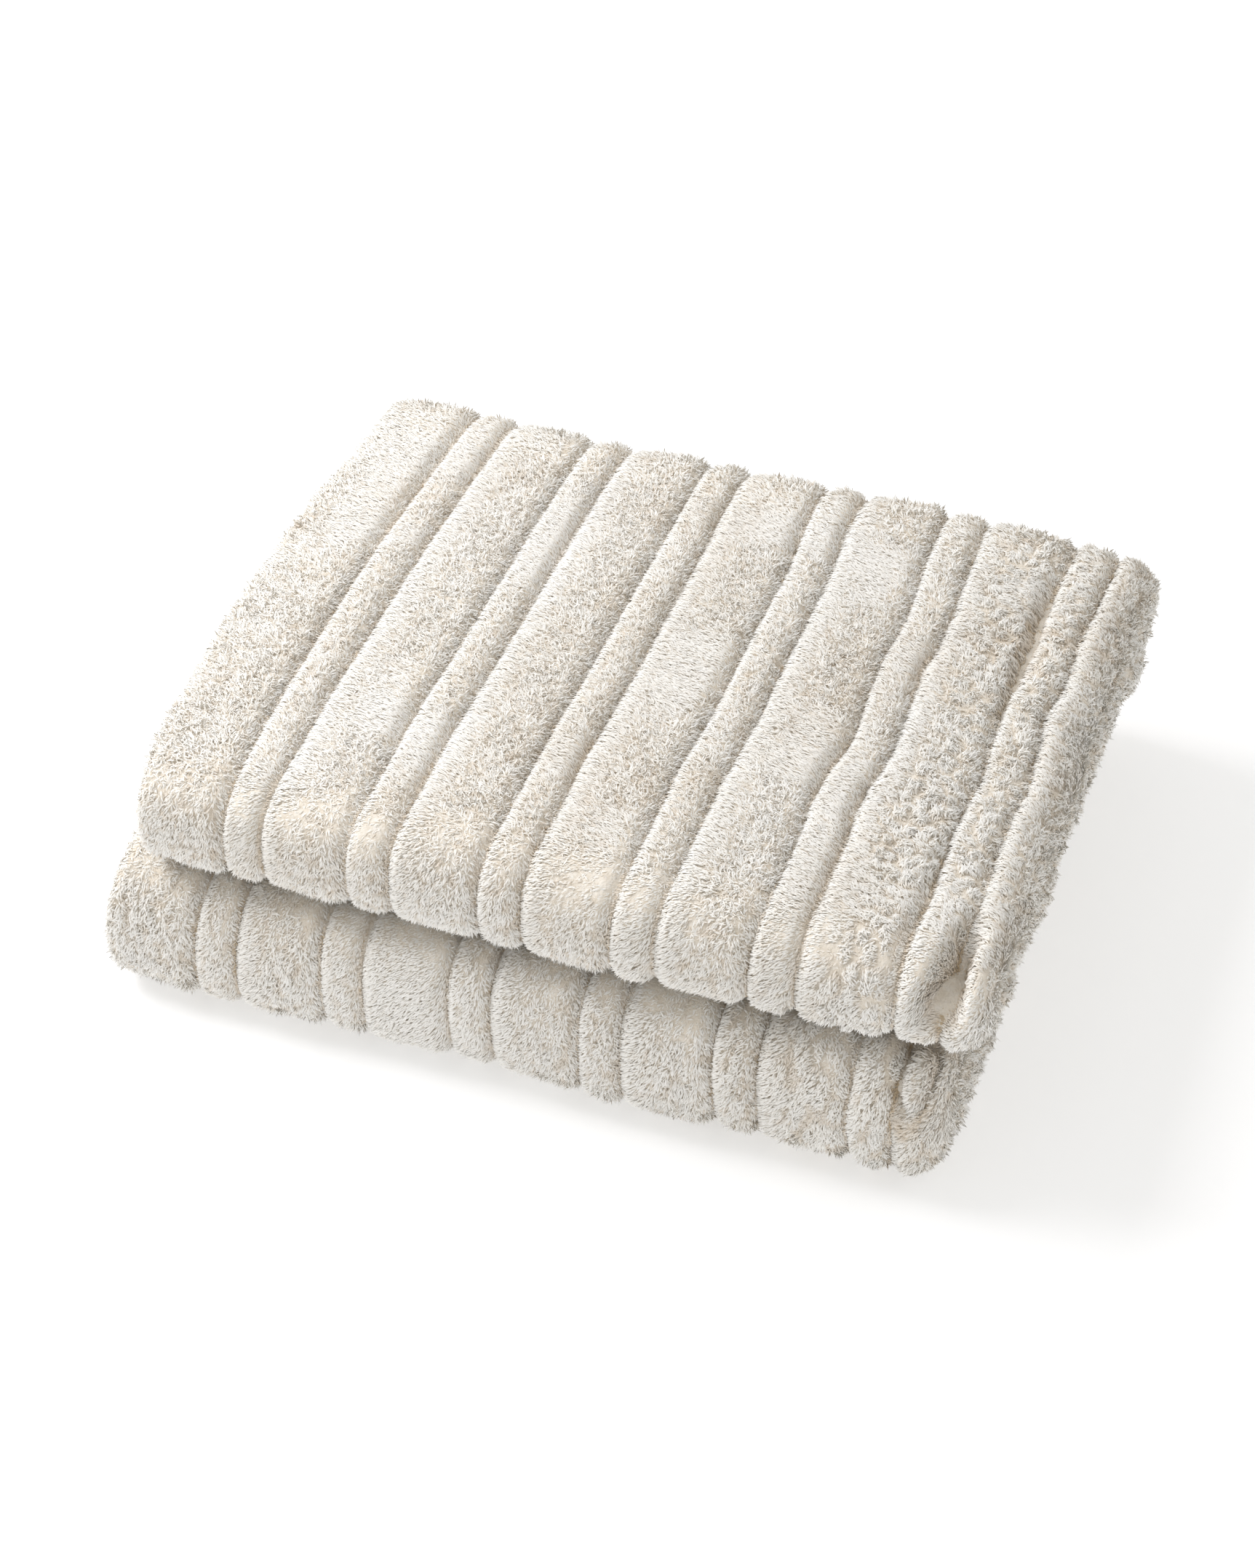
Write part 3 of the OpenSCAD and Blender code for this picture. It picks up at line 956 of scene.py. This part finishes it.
def add_camera():
    """The camera looks from the front right, from well above."""
    azimuth, elevation, distance = np.radians(19.69), np.radians(41.9), 1.426
    target = Vector((-0.0095, 0.0, 0.0428))
    flat = np.cos(elevation)
    way = Vector((np.sin(azimuth) * flat, -np.cos(azimuth) * flat, np.sin(elevation)))
    data = bpy.data.cameras.new("camera")
    data.sensor_width = 36
    data.sensor_fit = "HORIZONTAL"
    data.lens = 88.2
    camera = bpy.data.objects.new("camera", data)
    bpy.context.scene.collection.objects.link(camera)
    camera.location = target + way * distance
    aim(camera, target)
    bpy.context.scene.camera = camera


def add_light(name, place, target, size, power, colour):
    """A square soft light at place, turned to target."""
    data = bpy.data.lights.new(name, "AREA")
    data.size = size
    data.energy = power
    data.color = srgb(colour)[:3]
    lamp = bpy.data.objects.new(name, data)
    bpy.context.scene.collection.objects.link(lamp)
    lamp.location = place
    aim(lamp, target)


def add_studio():
    """A white floor, a bright even surround and a large soft light from the left."""
    mesh = bpy.data.meshes.new("floor")
    far = 25.0
    corners = [(-far, -far, 0), (far, -far, 0), (far, far, 0), (-far, far, 0)]
    mesh.from_pydata(corners, [], [(0, 1, 2, 3)])
    floor = bpy.data.objects.new("floor", mesh)
    bpy.context.scene.collection.objects.link(floor)
    floor.data.materials.append(plain_matt("floor_white", "#E0E0E0", 0.55))
    world = bpy.data.worlds.new("surround")
    bpy.context.scene.world = world
    world.use_nodes = True
    background = world.node_tree.nodes["Background"]
    background.inputs[0].default_value = srgb("#FFFEFC")
    background.inputs[1].default_value = 0.67
    add_light("key_light", (-0.95, 0.0, 1.15), (0, 0, 0.05), 0.9, 17, "#FCFCFF")
    bpy.context.scene.view_settings.view_transform = "Standard"


# ---------------------------------------------------------------- building
add_camera()
add_studio()

CLOTH_NODES = {
    "lower": ["bottom_panel", "lower_front_fold", "lower_inner_panel"],
    "back_lower": ["lower_back_bend", "back_panel"],
    "back_upper": ["upper_back_bend"],
    "upper": ["top_panel", "upper_front_fold", "upper_inner_panel"],
}
HEM_NODES = {
    "lower": ["lower_side_hem"],
    "back_lower": ["back_side_hem"],
    "back_upper": [],
    "upper": ["upper_side_hem"],
}
for part in PATHS:
    cloth = finish_piece(cloth_piece(part), GROUND_MAT)
    hold(cloth, part)
    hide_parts(*CLOTH_NODES[part])
    bands = hem_bands(part)
    hem = finish_piece(bands_object("side_hem_" + part, bands), HEM_MAT)
    hold(finish_piece(hem_pile("hem_pile_" + part, part, bands, 1.1, 60), PILE_MAT), part)
    hold(hem, part)
    if HEM_NODES[part]:
        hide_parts(*HEM_NODES[part])

for part, node in (("lower", "lower_hem_thread"), ("upper", "upper_hem_thread")):
    thread = finish_piece(stitch_piece("stitches_" + part, part), THREAD_MAT)
    hold(thread, part)
    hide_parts(node)
for part, node, s in (
    ("lower", "lower_end_hem", 0.0),
    ("upper", "upper_end_hem", RUN["upper"][-1]),
):
    bands = end_hem_bands(part, s)
    end_hem = finish_piece(bands_object("end_hem_" + part, bands), HEM_MAT)
    hold(end_hem, part)
    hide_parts(node)
label = finish_piece(label_piece(), LABEL_MAT)
hold(label, "lower")
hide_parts("care_label")


def pile_on(name, part, first, last, density, seed):
    """Pile on a part, between two shares of the rows of its path."""
    last_row = len(RUN[part]) - 1
    rows = [int(round(share * last_row)) for share in (first, last)]
    piece = finish_piece(pile_piece(name, part, rows, density, seed), PILE_MAT)
    hold(piece, part)


# the folds of both halves lie between these shares of their rows
IN, OUT = 0.42, 0.58
FULL_PILE = (DENSE, DENSE)
EDGE_PILE = (0.3, 1.45)  # thin where the next layer hides it
TOP_PIECES = 6
for k in range(TOP_PIECES):
    first, last = IN * k / TOP_PIECES, IN * (k + 1) / TOP_PIECES
    pile_on(f"pile_top_{k + 1}", "upper", first, last, FULL_PILE, 100 + k)
pile_on("pile_upper_front", "upper", IN, OUT, FULL_PILE, 110)
pile_on("pile_upper_inner", "upper", OUT, 1.0, EDGE_PILE, 112)
pile_on("pile_lower_inner", "lower", 0.0, IN, EDGE_PILE, 120)
pile_on("pile_lower_front", "lower", IN, OUT, FULL_PILE, 122)
pile_on("pile_bottom", "lower", OUT, 1.0, (0.15, 1.45), 124)
pile_on("pile_back_lower", "back_lower", 0.0, 1.0, (1.1, 1.5), 130)
pile_on("pile_back_upper", "back_upper", 0.0, 1.0, (1.25, 1.5), 132)
